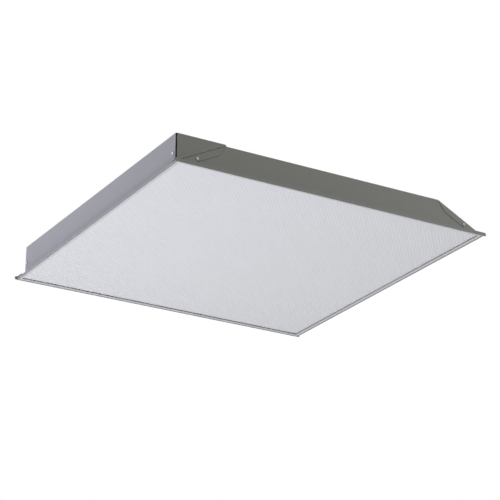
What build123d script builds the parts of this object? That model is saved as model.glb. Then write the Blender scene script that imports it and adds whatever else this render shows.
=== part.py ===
from build123d import *
import math
import os

os.makedirs("parts", exist_ok=True)

# Shallow recessed ceiling light of the square 600 mm (2 ft) size, with a hinged lens frame.
# X runs across the housing channel, Y along it, Z is up. Z = 0 is the lower edge of the two
# end rails, which stand on the ceiling grid, and the origin is the middle of the square.

# ---------------------------------------------------------------- rim on the ceiling grid
rim_length = 603.0  # along Y, over the outer faces of the two end rails
side_rim_width = 594.0  # along X, over the outer faces of the two side lips
rail_overrun = 4.5  # each end rail's tip beyond the side lip
end_ledge = 17.5  # from an end rail's face in to the end plate
ledge_top = 6.4
rail_tip_radius = 2.4
side_ledge = 3.0
side_lip_bottom = 0.4
side_lip_top = 4.6

# ---------------------------------------------------------------- housing channel
sheet = 0.6
bend_radius = 0.9
fold_radius = 0.5  # where the slopes turn into their flaps
end_bend_radius = 1.5  # outer radius of the compartment end's foot
body_top = 55.4
cover_side_shoulder = 98.0  # side lip in to where the cover side's slope meets the top
open_side_shoulder = 81.0
cover_side_knee = 7.0
open_side_knee = 15.0
plate_fit = 0.2  # end plate's edge to the inside of the channel
lap_gap = 0.2  # between folded strips that run past each other
flap_width = 11.5
flap_start = 3.0
flap_corner = 4.0
flap_corner_at = 6.0
flap_full_at = 20.0
flap_floor_gap = 0.8
flap_screw_at = 62.0
flap_screw_in = 6.5
top_flange = 10.0
top_flange_in = 6.0  # flange's end back from the slope
end_rivet_in = 24.0
tie_slot_length = 12.0
tie_slot_width = 3.5
tie_bridge = 9.0
tie_in_x = 57.5  # middle of a pair of slots in from the shoulder
tie_from_end = 74.0

# ---------------------------------------------------------------- wiring compartment
cover_inset = 7.0  # cover's outer face in from the side lip
cover_top = 58.6
cover_short = 2.0  # cover's end back from the outer face of the compartment end
cover_foot = 10.0
cover_overlap = 14.0
joggle_run = 2.0
corner_slot = 1.6  # open slot at the cover's upright corners
compartment_flange = 12.0
ear_length = 12.0
ear_height = 12.0
ear_back = 2.8
cover_screw_z = 25.0
cover_screw_back = 8.5
cover_top_screw_in = 84.0  # outer screws of the top lap back from the end plates
access_in = 47.0  # access plate's middle in from the cover's side
access_from_end = 112.0
access_width = 44.0
access_length = 90.0
access_lap_x = 7.0
access_lap_y = 12.0
access_sheet = 0.8
access_gap = 0.1
access_corner = 4.0
access_screw_edge = 6.0
lock_slot_width = 4.6
lock_slot_spare = 3.4  # wider on the pivot's side, as the plate turns about the pivot
knockout_radius = 11.1
knockout_spacing = 38.0
knockout_score = 0.5
knockout_score_width = 0.6

# ---------------------------------------------------------------- hinged lens frame
frame_rise = 0.8  # frame's face above the end rails' lower edges
face_width = 5.7
face_thickness = 1.0
frame_wall = 0.8
frame_wall_at = 2.5
frame_height = 4.6
frame_lip = 0.4
lens_step = 2.3
face_rounding = 0.5
frame_gap_x = 1.2  # frame to the inside of a side lip
frame_gap_y = 0.4  # frame to the inside of an end rail
lens_thickness = 1.5
lens_fit = 0.3
film_thickness = 0.3
key_leg = 22.0
key_width = 1.5
key_fit = 0.1
hinge_in = 2.4  # pivot in from the inside of the side lip
hinge_rise = 1.7  # pivot above the frame's face
pin_radius = 0.5
pin_fit = 0.05
hinge_block_width = 2.0
hinge_block_height = 1.4
hinge_block_length = 12.0
hinge_block_back = 0.3  # block's end back from the frame's edge

# ---------------------------------------------------------------- cam latches
latch_in = 29.0  # latch centre in from the side lip's face
latch_back = 2.9  # latch centre in from the end rail's inner face
latch_head_radius = 2.0
latch_head_height = 0.5
latch_head_fit = 0.12
latch_shaft_radius = 1.0
latch_shaft_fit = 0.1
latch_slot = 0.6
latch_slot_depth = 0.25
cam_lift = 0.5  # cam's underside above the ledge
cam_thickness = 1.0
cam_reach = 8.0
cam_width = 2.6
cam_fit = 0.5
cam_end_fit = 1.3  # beyond the cam's tip, so that it clears the slot as the frame swings

# ---------------------------------------------------------------- light engine
board_count = 4
board_in = 50.0  # outer boards' middle in from the shoulders
board_width = 24.0
board_end_gap = 24.0  # board's end back from the end plate's face
board_thickness = 1.6
board_corner = 1.0
package_size = 3.0
package_height = 0.7
package_step = 20.0
package_margin = 10.0
board_screw_in = 18.0
board_screw_offset = 8.0  # middle screw off the board's middle
connector_width = 9.0
connector_length = 12.0
connector_height = 3.2
connector_chamfer = 0.6

# ---------------------------------------------------------------- driver and wiring
driver_width = 30.0
driver_height = 24.0
driver_length = 280.0
driver_to_bushing = 31.0  # port's end to the bushing's middle
driver_side_gap = 2.0  # case to the inside of the cover
driver_corner = 1.5
driver_tab = 12.0
driver_tab_thickness = 1.2
driver_slot_length = 6.0
driver_port_width = 18.0
driver_port_height = 9.0
driver_port_length = 3.0
shelf_z = 31.5
bracket_thickness = 1.0
bracket_width = 30.0
bracket_foot = 20.0
bracket_inset = 3.0
bracket_screw_in = 7.0  # screw back from the foot's upper end
fixing_spare = 2.0  # screw tips beyond what they hold
lead_run = 25.0  # from the terminal block to the driver's port
terminal_width = 26.0
terminal_length = 24.0
terminal_height = 16.0
terminal_tab = 8.0
terminal_tab_width = 10.0
terminal_tab_thickness = 3.0
terminal_rounding = 1.0
terminal_bore = 2.2
terminal_bore_depth = 8.0
terminal_bore_z = 9.6  # above the bracket
terminal_step = 7.0
lead_radius = 1.1
lead_step = 5.0
harness_radius = 1.5
harness_fit = 0.1
harness_climb = 34.0  # along the slope, from the bushing to the bend to the trunk
harness_outside = 11.0  # straight run through the bushing, outside the channel
harness_inside = 8.0  # and inside it
harness_bends = [6.0, 5.0, 4.0, 6.0, 6.0, 2.4]
trunk_back = 5.0  # trunk beyond the board ends
trunk_start = 22.0  # trunk's first bend short of the first board
bushing_in = 62.0  # in from the side lip's face
bushing_from_end = 35.0
bushing_hole_radius = 6.0
bushing_fit = 0.1
bushing_flange = 2.0
bushing_lip = 1.2
ground_in = 39.0
ground_from_end = 69.0

# ---------------------------------------------------------------- fasteners
screw_radius = 1.7
screw_fit = 0.1
screw_head_radius = 2.6
screw_head_height = 1.2
screw_length = 5.0
rivet_radius = 1.6
rivet_head_radius = 3.0
rivet_head_height = 0.9
board_screw_radius = 1.4
board_screw_head = 2.8
compartment_rivet_step = 40.0  # along the slope, in each compartment end's foot

# ---------------------------------------------------------------- places worked out from the sizes
half_rim_y = rim_length / 2
half_rim_x = side_rim_width / 2
rail_span = side_rim_width + 2 * rail_overrun
plate_face = half_rim_y - end_ledge
channel_half = plate_face
end_face = plate_face + sheet  # outer face of the flaps and of the compartment ends
wall_x = half_rim_x - side_ledge
cover_shoulder_x = -half_rim_x + cover_side_shoulder
open_shoulder_x = half_rim_x - open_side_shoulder
top_middle_x = (cover_shoulder_x + open_shoulder_x) / 2
top_inside = body_top - sheet
ledge_bottom = ledge_top - sheet
flap_floor = ledge_top + flap_floor_gap

cover_rise = (body_top - cover_side_knee) / (cover_shoulder_x + wall_x)
cover_slope_angle = math.atan(cover_rise)
slope_normal = (-math.sin(cover_slope_angle), 0, math.cos(cover_slope_angle))

frame_half_x = half_rim_x - sheet - frame_gap_x
frame_half_y = half_rim_y - sheet - frame_gap_y
opening_half_x = frame_half_x - face_width
opening_half_y = frame_half_y - face_width
lens_half_x = opening_half_x + frame_wall_at - lens_fit
lens_half_y = opening_half_y + frame_wall_at - lens_fit
hinge_x = half_rim_x - sheet - hinge_in
hinge_z = frame_rise + hinge_rise
latch_x = latch_in - half_rim_x
latch_y = half_rim_y - sheet - latch_back
cover_face_x = -half_rim_x + cover_inset
cover_inside_x = cover_face_x + sheet
cover_half = end_face - cover_short
cover_inside_top = cover_top - sheet
access_x = cover_face_x + access_in
access_y = access_from_end - plate_face
bushing_x = bushing_in - half_rim_x
bushing_y = plate_face - bushing_from_end
ground_x = ground_in - half_rim_x
ground_y = ground_from_end - plate_face
driver_x = cover_inside_x + driver_side_gap + driver_width / 2
driver_y = bushing_y - driver_to_bushing - driver_port_length - driver_length / 2
terminal_y = driver_y - driver_length / 2 - driver_port_length - lead_run - terminal_length / 2
board_length = 2 * (plate_face - board_end_gap)
board_spacing = (open_shoulder_x - cover_shoulder_x - 2 * board_in) / (board_count - 1)
package_count = round((board_length - 2 * package_margin) / package_step)


def slope_z(x):
    """Height of the cover side slope's outer face at a given x."""
    return cover_side_knee + (x + wall_x) * cover_rise


def slope_x(z):
    """Place across the housing where the cover side slope reaches a given height."""
    return (z - cover_side_knee) / cover_rise - wall_x


def slope_plane(x, y):
    """Plane on the outer face of the cover side slope, facing out of the channel."""
    return Plane(origin=(x, y, slope_z(x)), x_dir=(0, 1, 0), z_dir=slope_normal)


def flap_outline(shoulder, knee):
    """Corners of the flap folded from a slope's end over the end plate."""
    run = Vector(knee[0] - shoulder[0], knee[1] - shoulder[1]).normalized()
    inward = Vector(-run.Y, run.X) if run.X < 0 else Vector(run.Y, -run.X)
    start = Vector(*shoulder)
    foot = start + run * (Vector(*knee) - start).length
    inner_end = start + run * (foot - start).length + inward * flap_width
    return [
        tuple(start + run * flap_start)[:2],
        tuple(start + run * flap_corner_at + inward * flap_corner)[:2],
        tuple(start + run * flap_full_at + inward * flap_width)[:2],
        tuple(inner_end)[:2],
        (inner_end.X, 0),
        (knee[0], 0),
        knee,
    ]


def flap_screw_place(shoulder, knee):
    """Centre of the screw through a flap, on the end's upright face."""
    run = Vector(knee[0] - shoulder[0], knee[1] - shoulder[1]).normalized()
    inward = Vector(-run.Y, run.X) if run.X < 0 else Vector(run.Y, -run.X)
    place = Vector(*shoulder) + run * flap_screw_at + inward * flap_screw_in
    return (place.X, place.Y)


shelf_bottom = shelf_z - bracket_thickness
bend_x = slope_x(shelf_bottom)
foot_top_x = bend_x + bracket_foot * math.cos(cover_slope_angle)
bracket_screw_x = bend_x + (bracket_foot - bracket_screw_in) * math.cos(cover_slope_angle)
driver_tab_y = driver_length / 2 + driver_tab / 2
driver_bracket_ys = [driver_y + side * driver_tab_y for side in (-1, 1)]
terminal_bracket_y = terminal_y - terminal_tab / 2
bracket_ys = driver_bracket_ys + [terminal_bracket_y]

cover_shoulder = (cover_shoulder_x, body_top)
cover_knee = (-wall_x, cover_side_knee)
open_shoulder = (open_shoulder_x, body_top)
open_knee = (wall_x, open_side_knee)
cover_slope = (cover_knee[0] - cover_shoulder[0], 0, cover_knee[1] - cover_shoulder[1])
open_slope = (open_knee[0] - open_shoulder[0], 0, open_knee[1] - open_shoulder[1])
flap_screws_at = [flap_screw_place(cover_shoulder, cover_knee), flap_screw_place(open_shoulder, open_knee)]
board_rows = [cover_shoulder_x + board_in + board_spacing * row for row in range(board_count)]
board_end_screw_y = board_length / 2 - board_screw_in
board_screw_ys = [-board_end_screw_y, board_screw_offset, board_end_screw_y]
board_screw_rows = [(x, y) for x in board_rows for y in board_screw_ys]
end_rivets_x = [cover_shoulder_x + end_rivet_in, top_middle_x, open_shoulder_x - end_rivet_in]
end_rivet_y = plate_face - top_flange / 2
tie_y = plate_face - tie_from_end
tie_xs = [cover_shoulder_x + tie_in_x, open_shoulder_x - tie_in_x]
tie_places = [(x, y) for x in tie_xs for y in (-tie_y, tie_y)]
cover_top_screw_x = cover_shoulder_x + joggle_run + cover_overlap / 2
cover_top_screw_y = plate_face - cover_top_screw_in
cover_side_screw_y = plate_face - cover_screw_back
compartment_rivet_y = plate_face - compartment_flange / 2
compartment_middle_x = (cover_face_x + cover_shoulder_x) / 2
compartment_rivets_x = [compartment_middle_x + step * compartment_rivet_step / 2 for step in (-1, 1)]


def pan_screw(plane, radius, head_radius, length, head_height=screw_head_height):
    """Cross-recessed pan head screw, its head standing on the plane and its shank below it."""
    with BuildPart() as screw:
        with BuildSketch(plane):
            Circle(head_radius)
        extrude(amount=head_height)
        fillet(screw.edges().filter_by(GeomType.CIRCLE).group_by(lambda edge: plane.to_local_coords(
            edge.center()).Z)[-1], head_height * 0.4)
        with BuildSketch(plane):
            Circle(radius)
        extrude(amount=-length)
        with BuildSketch(plane.offset(head_height)):
            Rectangle(head_radius, head_radius * 0.24)
            Rectangle(head_radius * 0.24, head_radius)
        extrude(amount=-head_height * 0.5, mode=Mode.SUBTRACT)
    return screw.part


def face_plane(side, distance):
    """Upright plane at an end of the housing, facing outwards, with local y up."""
    return Plane(origin=(0, side * distance, 0), x_dir=(-side, 0, 0), z_dir=(0, side, 0))


# ---------------------------------------------------------------- housing body
channel_path = [
    (-half_rim_x, side_lip_bottom),
    (-half_rim_x, side_lip_top),
    (-wall_x, side_lip_top),
    cover_knee,
    cover_shoulder,
    open_shoulder,
    open_knee,
    (wall_x, side_lip_top),
    (half_rim_x, side_lip_top),
    (half_rim_x, side_lip_bottom),
]

with BuildPart() as housing_body:
    with BuildSketch(Plane.XZ) as channel_section:
        with BuildLine():
            FilletPolyline(*channel_path, radius=bend_radius)
            offset(amount=sheet, side=Side.RIGHT)
        make_face()
    extrude(amount=channel_half, both=True)
    # The folded rim runs on past the slopes, under the end plates' ledges
    with BuildSketch(Plane.XZ):
        add(channel_section.sketch)
        with Locations((0, ledge_bottom / 2)):
            Rectangle(side_rim_width, ledge_bottom, mode=Mode.INTERSECT)
    extrude(amount=half_rim_y - sheet - lap_gap, both=True)
    # Flaps folded over the end plates
    for side in (-1, 1):
        for shoulder, knee in ((cover_shoulder, cover_knee), (open_shoulder, open_knee)):
            with BuildSketch(Plane.XZ.offset(-side * channel_half)):
                Polygon(*flap_outline(shoulder, knee), align=None)
                with Locations((0, flap_floor - body_top / 2)):
                    Rectangle(rail_span, body_top, mode=Mode.SUBTRACT)
            extrude(amount=-side * sheet)
    # Folds between the slopes and their flaps
    for slope in (cover_slope, open_slope):
        folds = housing_body.edges().filter_by(Axis((0, 0, 0), slope)).filter_by(
            lambda edge: abs(edge.center().Y) > channel_half + sheet / 2)
        fillet(folds.group_by(Axis.Z)[-1], fold_radius)
    # Screw holes in the flaps
    with BuildSketch(Plane.XZ):
        with Locations(*flap_screws_at):
            Circle(screw_radius + screw_fit)
    extrude(amount=rim_length, both=True, mode=Mode.SUBTRACT)
    # Holes in the top for board screws, rivets, cover screws and tie wires
    with BuildSketch(Plane.XY.offset(body_top - 2 * sheet)):
        with Locations(*board_screw_rows):
            Circle(board_screw_radius + screw_fit)
        with Locations(*[(x, side * end_rivet_y) for x in end_rivets_x for side in (-1, 1)]):
            Circle(rivet_radius + screw_fit)
        with Locations(*[(cover_top_screw_x, row * cover_top_screw_y) for row in (-1, 0, 1)]):
            Circle(screw_radius + screw_fit)
        with Locations(*[(x, y + step * (tie_bridge + tie_slot_width) / 2) for x, y in tie_places
                         for step in (-1, 1)]):
            SlotOverall(tie_slot_length, tie_slot_width)
    extrude(amount=4 * sheet, mode=Mode.SUBTRACT)
    # Bushing hole and bracket screw holes through the slope
    with BuildSketch(slope_plane(bushing_x, bushing_y)):
        Circle(bushing_hole_radius)
    extrude(amount=2 * sheet, both=True, mode=Mode.SUBTRACT)
    for y in bracket_ys:
        with BuildSketch(slope_plane(bracket_screw_x, y)):
            Circle(board_screw_radius + screw_fit)
        extrude(amount=2 * sheet, both=True, mode=Mode.SUBTRACT)
    with BuildSketch(slope_plane(ground_x, ground_y)):
        Circle(screw_radius + screw_fit)
    extrude(amount=2 * sheet, both=True, mode=Mode.SUBTRACT)
    for x in compartment_rivets_x:
        for side in (-1, 1):
            with BuildSketch(slope_plane(x, side * compartment_rivet_y)):
                Circle(rivet_radius + screw_fit)
            extrude(amount=2 * sheet, both=True, mode=Mode.SUBTRACT)
housing_body.part.label = "housing_body"

# ---------------------------------------------------------------- end plates
cam_slot_start = latch_x - cam_width / 2 - cam_fit
cam_slot_length = cam_reach + cam_width / 2 + cam_fit + cam_end_fit


def end_plate(side):
    """End plate with its upper flange, the ledge on the grid and the rail in one folded sheet."""
    with BuildPart() as plate:
        with BuildSketch(face_plane(side, plate_face)) as face:
            with BuildLine():
                Polyline(*[(-side * x, z) for x, z in [
                    (-wall_x, 0), cover_knee, cover_shoulder,
                    open_shoulder, open_knee, (wall_x, 0)]], close=True)
            make_face()
            offset(amount=-(sheet + plate_fit), kind=Kind.INTERSECTION)
            with Locations((0, ledge_bottom / 2)):
                Rectangle(rail_span, ledge_bottom, mode=Mode.SUBTRACT)
        extrude(amount=-sheet)
        # Upper flange under the housing's top
        with BuildSketch(Plane.XY.offset(top_inside)):
            with Locations((top_middle_x, side * (plate_face - top_flange / 2))):
                Rectangle(open_shoulder_x - cover_shoulder_x - 2 * top_flange_in, top_flange)
        extrude(amount=-sheet)
        # Ledge out to the rail
        with BuildSketch(Plane.XY.offset(ledge_bottom)):
            with Locations((0, side * (half_rim_y + plate_face + lap_gap) / 2)):
                Rectangle(side_rim_width, end_ledge - lap_gap)
            with Locations((0, side * plate_face)):
                Rectangle(2 * (wall_x - sheet - plate_fit), 2 * sheet)
        extrude(amount=sheet)
        # Rail
        with BuildSketch(face_plane(side, half_rim_y)):
            with Locations((0, ledge_top / 2)):
                RectangleRounded(rail_span, ledge_top, rail_tip_radius)
        extrude(amount=-sheet)
        # Slot that the latch's cam passes through
        with BuildSketch(Plane.XY.offset(ledge_bottom - sheet)):
            with Locations((cam_slot_start + cam_slot_length / 2, side * latch_y)):
                Rectangle(cam_slot_length, cam_width + 2 * cam_fit)
        extrude(amount=3 * sheet, mode=Mode.SUBTRACT)
        # Pivot hole in the rail and screw holes in the face
        with BuildSketch(face_plane(side, half_rim_y)):
            with Locations((-side * hinge_x, hinge_z)):
                Circle(pin_radius + pin_fit)
        extrude(amount=-2 * sheet, mode=Mode.SUBTRACT)
        with BuildSketch(face_plane(side, plate_face)):
            with Locations(*[(-side * x, z) for x, z in flap_screws_at]):
                Circle(screw_radius + screw_fit)
        extrude(amount=-2 * sheet, mode=Mode.SUBTRACT)
        with BuildSketch(Plane.XY.offset(top_inside + sheet)):
            with Locations(*[(x, side * end_rivet_y) for x in end_rivets_x]):
                Circle(rivet_radius + screw_fit)
        extrude(amount=-3 * sheet, mode=Mode.SUBTRACT)
    return plate.part


end_plate_front = end_plate(-1)
end_plate_front.label = "end_plate_front"
end_plate_rear = end_plate(1)
end_plate_rear.label = "end_plate_rear"

# ---------------------------------------------------------------- wiring compartment cover
foot_end_x = cover_face_x + cover_foot
cover_path = [
    (foot_end_x, slope_z(foot_end_x)),
    (cover_face_x, slope_z(cover_face_x)),
    (cover_face_x, cover_top),
    (cover_shoulder_x, cover_top),
    (cover_shoulder_x + joggle_run, body_top + sheet),
    (cover_shoulder_x + joggle_run + cover_overlap, body_top + sheet),
]
plate_width = access_width + 2 * access_lap_x
plate_length = access_length + 2 * access_lap_y
screw_out_x = plate_width / 2 - access_screw_edge
screw_out_y = plate_length / 2 - access_screw_edge
pivot_place = (access_x + screw_out_x, access_y + screw_out_y)
lock_place = (access_x - screw_out_x, access_y - screw_out_y)

with BuildPart() as compartment_cover:
    with BuildSketch(Plane.XZ):
        with BuildLine():
            Polyline(*cover_path)
            offset(amount=sheet, side=Side.RIGHT, kind=Kind.INTERSECTION)
        make_face()
    extrude(amount=cover_half, both=True)
    fillet(compartment_cover.edges().filter_by(Axis.Y).group_by(Axis.X)[0].sort_by(Axis.Z)[-1:], bend_radius)
    # Foot cut back where the compartment ends stand
    with BuildSketch(Plane.XY.offset(side_lip_top)):
        for side in (-1, 1):
            with Locations((cover_inside_x + cover_foot, side * cover_half)):
                Rectangle(2 * cover_foot, 2 * (cover_half - end_face + compartment_flange + lap_gap))
    extrude(amount=slope_z(foot_end_x) + 2 * sheet - side_lip_top, mode=Mode.SUBTRACT)
    with BuildSketch(Plane.XY.offset(cover_inside_top - sheet)):
        with Locations((access_x, access_y)):
            RectangleRounded(access_width, access_length, access_corner)
        with Locations(pivot_place, lock_place):
            Circle(screw_radius + screw_fit)
    extrude(amount=3 * sheet, mode=Mode.SUBTRACT)
    with BuildSketch(Plane.XY.offset(body_top - sheet)):
        with Locations(*[(cover_top_screw_x, row * cover_top_screw_y) for row in (-1, 0, 1)]):
            Circle(screw_radius + screw_fit)
    extrude(amount=3 * sheet, mode=Mode.SUBTRACT)
    with BuildSketch(Plane.YZ.offset(cover_face_x - sheet)):
        with Locations((-cover_side_screw_y, cover_screw_z), (cover_side_screw_y, cover_screw_z)):
            Circle(screw_radius + screw_fit)
    extrude(amount=3 * sheet, mode=Mode.SUBTRACT)
compartment_cover.part.label = "compartment_cover"


# ---------------------------------------------------------------- compartment ends
def compartment_end(side):
    """Three-cornered end of the wiring compartment, a tray with ears for the cover's screws."""
    upright_x = cover_inside_x + corner_slot
    inner_x = cover_shoulder_x - sheet
    with BuildPart() as end:
        with BuildSketch(face_plane(side, end_face)):
            with BuildLine():
                Polyline(*[(-side * x, z) for x, z in [
                    (upright_x, slope_z(upright_x)), (upright_x, cover_inside_top),
                    (inner_x, cover_inside_top), (inner_x, slope_z(inner_x))]], close=True)
            make_face()
        extrude(amount=-compartment_flange)
        foot_bends = end.edges().filter_by(Axis((0, 0, 0), cover_slope)).sort_by(Axis.Y)
        fillet(foot_bends[0 if side < 0 else -1], end_bend_radius)
        offset(amount=-sheet, openings=end.faces().filter_by(Axis.Y).sort_by(Axis.Y)[-1 if side < 0 else 0])
        with BuildSketch(Plane.YZ.offset(cover_inside_x)):
            with Locations((side * (plate_face - ear_back - (ear_length - ear_back) / 2), cover_screw_z)):
                Rectangle(ear_length - ear_back, ear_height)
        extrude(amount=corner_slot)
        with BuildSketch(Plane.YZ.offset(cover_inside_x - sheet)):
            with Locations((side * cover_side_screw_y, cover_screw_z)):
                Circle(screw_radius + screw_fit)
        extrude(amount=corner_slot + 3 * sheet, mode=Mode.SUBTRACT)
        for x in compartment_rivets_x:
            with BuildSketch(slope_plane(x, side * compartment_rivet_y)):
                Circle(rivet_radius + screw_fit)
            extrude(amount=2 * sheet, mode=Mode.SUBTRACT)
    return end.part


compartment_end_front = compartment_end(-1)
compartment_end_front.label = "compartment_end_front"
compartment_end_rear = compartment_end(1)
compartment_end_rear.label = "compartment_end_rear"

# ---------------------------------------------------------------- access plate over the wiring opening
access_bottom = cover_top + access_gap
access_top = access_bottom + access_sheet
with BuildPart() as access_plate:
    with BuildSketch(Plane.XY.offset(access_bottom)):
        with Locations((access_x, access_y)):
            RectangleRounded(plate_width, plate_length, access_corner)
        with Locations((access_x, access_y - knockout_spacing / 2)):
            Circle(knockout_radius, mode=Mode.SUBTRACT)
        with Locations(pivot_place):
            Circle(screw_radius + pin_fit, mode=Mode.SUBTRACT)
        # Slot open to the edge, so that the plate swings off the lock screw
        with Locations((lock_place[0] - access_screw_edge, lock_place[1] + lock_slot_spare / 2)):
            SlotOverall(2 * access_screw_edge + lock_slot_width + lock_slot_spare,
                        lock_slot_width + lock_slot_spare, mode=Mode.SUBTRACT)
    extrude(amount=access_sheet)
    with BuildSketch(Plane.XY.offset(access_top)):
        with Locations((access_x, access_y + knockout_spacing / 2)):
            Circle(knockout_radius)
            Circle(knockout_radius - knockout_score_width, mode=Mode.SUBTRACT)
    extrude(amount=-knockout_score, mode=Mode.SUBTRACT)
access_plate.part.label = "access_plate"


# ---------------------------------------------------------------- lens frame
def frame_section():
    """Outline of a frame rail: u runs outwards from the opening's edge, v is up."""
    return [
        (0, 0), (face_width, 0), (face_width, face_thickness),
        (frame_wall_at + frame_wall, face_thickness), (frame_wall_at + frame_wall, frame_height),
        (frame_wall / 2, frame_height), (frame_wall / 2, frame_height - frame_lip),
        (frame_wall_at, frame_height - frame_lip), (frame_wall_at, face_thickness),
        (frame_wall, face_thickness), (frame_wall, lens_step), (0, lens_step),
    ]


def mitre_plane(side_x, side_y):
    """Upright plane through a corner of the frame at 45 degrees, facing the end rail."""
    return Plane(origin=(side_x * frame_half_x, side_y * frame_half_y, 0), z_dir=(-side_x, side_y, 0))


# Level of the frame's face, and of the upper side of its outer flange
frame_face = Plane.XY.offset(frame_rise)
flange_top = Plane.XY.offset(frame_rise + face_thickness)


def side_rail(side):
    """Frame rail along Y with mitred ends."""
    with BuildPart() as rail:
        edge_middle = (side * opening_half_x, 0, frame_rise)
        section = Plane(origin=edge_middle, x_dir=(side, 0, 0), z_dir=(0, -side, 0))
        with BuildSketch(section) as outline:
            Polygon(*frame_section(), align=None)
            fillet(outline.vertices().group_by(Axis.Y)[0], face_rounding)
        extrude(amount=frame_half_y, both=True)
        for end in (-1, 1):
            split(bisect_by=mitre_plane(side, end), keep=Keep.BOTTOM)
    return rail


def end_rail(side):
    """Frame rail along X with mitred ends and the seat of its latch."""
    with BuildPart() as rail:
        edge_middle = (0, side * opening_half_y, frame_rise)
        section = Plane(origin=edge_middle, x_dir=(0, side, 0), z_dir=(side, 0, 0))
        with BuildSketch(section) as outline:
            Polygon(*frame_section(), align=None)
            fillet(outline.vertices().group_by(Axis.Y)[0], face_rounding)
        extrude(amount=frame_half_x, both=True)
        for end in (-1, 1):
            split(bisect_by=mitre_plane(end, side), keep=Keep.TOP)
        with BuildSketch(frame_face):
            with Locations((latch_x, side * latch_y)):
                Circle(latch_head_radius + latch_head_fit)
        extrude(amount=latch_head_height + latch_head_fit, mode=Mode.SUBTRACT)
        with BuildSketch(frame_face):
            with Locations((latch_x, side * latch_y)):
                Circle(latch_shaft_radius + latch_shaft_fit)
        extrude(amount=face_thickness, mode=Mode.SUBTRACT)
        with BuildSketch(flange_top):
            with Locations((latch_x, side * latch_y)):
                Rectangle(2 * latch_head_radius, 2 * (latch_shaft_radius + 2 * latch_shaft_fit))
        extrude(amount=frame_height, mode=Mode.SUBTRACT)
    return rail


frame_rail_latch = side_rail(-1).part
frame_rail_latch.label = "frame_rail_latch"
frame_rail_hinge = side_rail(1).part
frame_rail_hinge.label = "frame_rail_hinge"
frame_rail_front = end_rail(-1).part
frame_rail_front.label = "frame_rail_front"
frame_rail_rear = end_rail(1).part
frame_rail_rear.label = "frame_rail_rear"

key_height = lens_step - face_thickness - key_fit
key_centre = (frame_wall + frame_wall_at) / 2
with BuildPart() as corner_keys:
    with BuildSketch(flange_top):
        for side_x in (-1, 1):
            for side_y in (-1, 1):
                corner_x = side_x * (opening_half_x + key_centre)
                corner_y = side_y * (opening_half_y + key_centre)
                with Locations((corner_x - side_x * (key_leg - key_width) / 2, corner_y)):
                    Rectangle(key_leg, key_width)
                with Locations((corner_x, corner_y - side_y * (key_leg - key_width) / 2)):
                    Rectangle(key_width, key_leg)
    extrude(amount=key_height)
corner_keys.part.label = "corner_keys"

with BuildPart() as lens_panel:
    with BuildSketch(frame_face.offset(lens_step)):
        RectangleRounded(2 * lens_half_x, 2 * lens_half_y, lens_fit)
    extrude(amount=lens_thickness)
lens_panel.part.label = "lens_panel"

with BuildPart() as diffuser_film:
    with BuildSketch(frame_face.offset(lens_step + lens_thickness)):
        Rectangle(2 * lens_half_x, 2 * lens_half_y)
    extrude(amount=film_thickness)
diffuser_film.part.label = "diffuser_film"

# ---------------------------------------------------------------- frame hinges
block_end = frame_half_y - hinge_block_back
block_outer = hinge_x + hinge_block_width / 2
block_inner = opening_half_x + frame_wall_at + frame_wall
with BuildPart() as hinge_blocks:
    for side in (-1, 1):
        with BuildSketch(flange_top):
            with Locations(((block_outer + block_inner) / 2, side * (block_end - hinge_block_length / 2))):
                Rectangle(block_outer - block_inner, hinge_block_length)
        extrude(amount=hinge_block_height)
    with BuildSketch(Plane.XZ):
        with Locations((hinge_x, hinge_z)):
            Circle(pin_radius)
    extrude(amount=rim_length, both=True, mode=Mode.SUBTRACT)
hinge_blocks.part.label = "hinge_blocks"

with BuildPart() as hinge_pins:
    for side in (-1, 1):
        with BuildSketch(face_plane(side, half_rim_y)):
            with Locations((-side * hinge_x, hinge_z)):
                Circle(pin_radius)
        extrude(amount=-(half_rim_y - block_end + hinge_block_length))
hinge_pins.part.label = "hinge_pins"


# ---------------------------------------------------------------- cam latches
def cam_latch(side):
    """Latch turned with a screwdriver: flush head, shaft and a cam that swings over the ledge."""
    cam_bottom = ledge_top + cam_lift
    with BuildPart() as latch:
        with BuildSketch(frame_face):
            with Locations((latch_x, side * latch_y)):
                Circle(latch_head_radius)
        extrude(amount=latch_head_height)
        with BuildSketch(frame_face):
            with Locations((latch_x, side * latch_y)):
                Rectangle(1.4 * latch_head_radius, latch_slot)
        extrude(amount=latch_slot_depth, mode=Mode.SUBTRACT)
        with BuildSketch(frame_face.offset(latch_head_height)):
            with Locations((latch_x, side * latch_y)):
                Circle(latch_shaft_radius)
        extrude(amount=cam_bottom - frame_rise - latch_head_height)
        with BuildSketch(Plane.XY.offset(cam_bottom)):
            with Locations((latch_x, side * latch_y)):
                Circle(cam_width / 2)
            with Locations((latch_x + cam_reach / 2 - cam_width / 4, side * latch_y)):
                Rectangle(cam_reach - cam_width / 2, cam_width)
            with Locations((latch_x + cam_reach - cam_width / 2, side * latch_y)):
                Circle(cam_width / 2)
        extrude(amount=cam_thickness)
    return latch.part


latch_front = cam_latch(-1)
latch_front.label = "latch_front"
latch_rear = cam_latch(1)
latch_rear.label = "latch_rear"

# ---------------------------------------------------------------- light engine
board_bottom = top_inside - board_thickness
led_boards = []
for number, row_x in enumerate(board_rows, start=1):
    row_screws = [place for place in board_screw_rows if place[0] == row_x]
    with BuildPart() as board:
        with BuildSketch(Plane.XY.offset(board_bottom)):
            with Locations((row_x, 0)):
                RectangleRounded(board_width, board_length, board_corner)
            with Locations(*row_screws):
                Circle(board_screw_radius + screw_fit, mode=Mode.SUBTRACT)
        extrude(amount=board_thickness)
    board.part.label = f"led_board_{number}"
    led_boards.append(board.part)

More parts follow.
